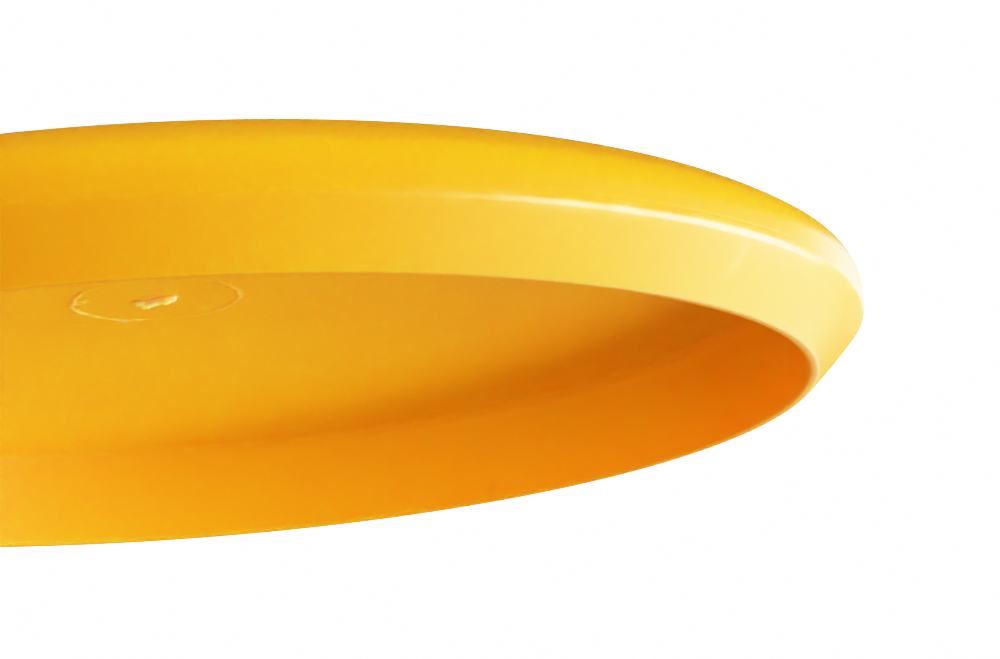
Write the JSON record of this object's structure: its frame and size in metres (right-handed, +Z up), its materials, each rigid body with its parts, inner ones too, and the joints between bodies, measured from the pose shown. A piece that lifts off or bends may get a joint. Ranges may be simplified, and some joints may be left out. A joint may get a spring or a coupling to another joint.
{
  "type": "flying disc",
  "caption": "Round one-piece plastic flying disc with a domed flight plate, a thick rim bevelled under the nose, a narrow lip and a deep hollow for the fingers.",
  "frame": {"origin": "centre of the circle that the lip rests on, at the disc's lowest level", "axes": "+Z up through the flight plate along the disc's axis; +X and +Y lie in the plane of the lip and are alike, because the disc is round"},
  "size_m": [0.212, 0.212, 0.0234],
  "materials": {
    "yellow_plastic": "satin, slightly translucent golden yellow moulding plastic"
  },
  "bodies": {
    "root": {"disc": "yellow_plastic"}
  },
  "joints": []
}
